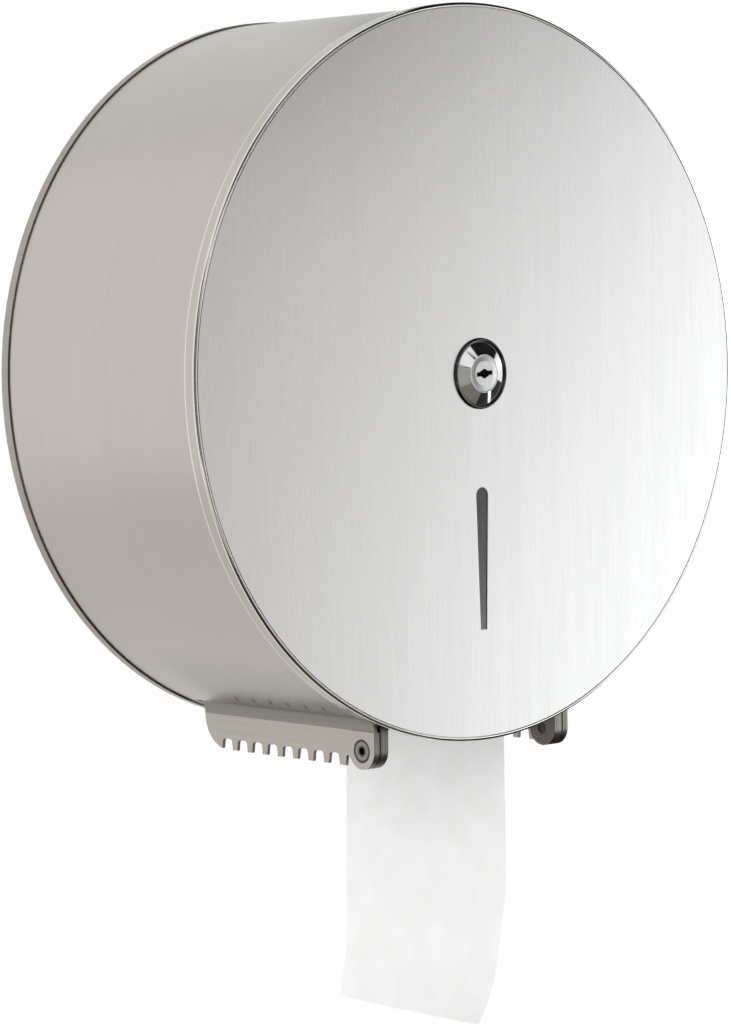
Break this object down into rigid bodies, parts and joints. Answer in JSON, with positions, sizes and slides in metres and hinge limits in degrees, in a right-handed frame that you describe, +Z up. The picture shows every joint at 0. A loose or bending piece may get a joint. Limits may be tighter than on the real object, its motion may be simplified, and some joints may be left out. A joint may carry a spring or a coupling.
{
  "type": "jumbo toilet roll dispenser",
  "caption": "Round wall-mounted steel dispenser for a jumbo toilet roll, with a locked drop-down front cover, a view slot and two serrated tear blades under the drum.",
  "frame": {"origin": "on the wall plane, on the axis of the roll's spindle and the lock", "axes": "+Z up, -Y towards the user, +X to the right as seen from the front; +Y points into the wall"},
  "size_m": [0.3104, 0.1306, 0.4367],
  "materials": {
    "drum_steel": "satin stainless, fine grain round the drum",
    "cover_steel": "stainless brushed straight up and down",
    "pan_steel": "satin stainless",
    "blade_steel": "fine satin stainless, cut edges bare",
    "hinge_steel": "stainless with a coarse vertical grain",
    "screw_steel": "turned stainless, slightly darkened",
    "spindle_steel": "drawn tube, bright",
    "zinc_steel": "bright zinc plate",
    "lock_chrome": "polished chrome",
    "plug_nickel": "satin nickel",
    "wafer_brass": "stamped brass",
    "nylon": "natural nylon",
    "core_card": "spiral wound grey-brown card",
    "tissue": "soft white tissue"
  },
  "bodies": {
    "case": {"back_pan": "pan_steel", "drum_shell": "drum_steel", "blade_left": "blade_steel", "blade_right": "blade_steel", "spindle_flange": "pan_steel", "spindle_tube": "spindle_steel", "spindle_rivets": "zinc_steel", "keeper_plate": "zinc_steel", "roll_spacer": "nylon", "paper_tail": "tissue"},
    "cover": {"cover_disc": "cover_steel", "cover_rim": "cover_steel", "hinge_arm_left": "hinge_steel", "hinge_arm_right": "hinge_steel", "hinge_screw_left": "screw_steel", "hinge_screw_right": "screw_steel", "hinge_washer_left": "nylon", "hinge_washer_right": "nylon", "lock_housing": "lock_chrome", "lock_washer": "zinc_steel", "lock_nut": "zinc_steel"},
    "lock_cylinder": {"lock_plug": "plug_nickel", "lock_wafers": "wafer_brass", "lock_cam": "zinc_steel", "cam_screw": "zinc_steel"},
    "roll": {"paper_core": "core_card", "paper_roll": "tissue"}
  },
  "joints": [
    {"name": "cover_hinge", "type": "hinge", "parent": "case", "child": "cover", "pos_m": [0, -0.1126, -0.1555], "axis": [1, 0, 0], "range_deg": [0, 95]},
    {"name": "lock_turn", "type": "hinge", "parent": "cover", "child": "lock_cylinder", "pos_m": [0, -0.12, 0], "axis": [0, 1, 0], "range_deg": [0, 90]},
    {"name": "roll_spin", "type": "hinge", "parent": "case", "child": "roll", "pos_m": [0, -0.0596, 0], "axis": [0, 1, 0], "continuous": true}
  ]
}
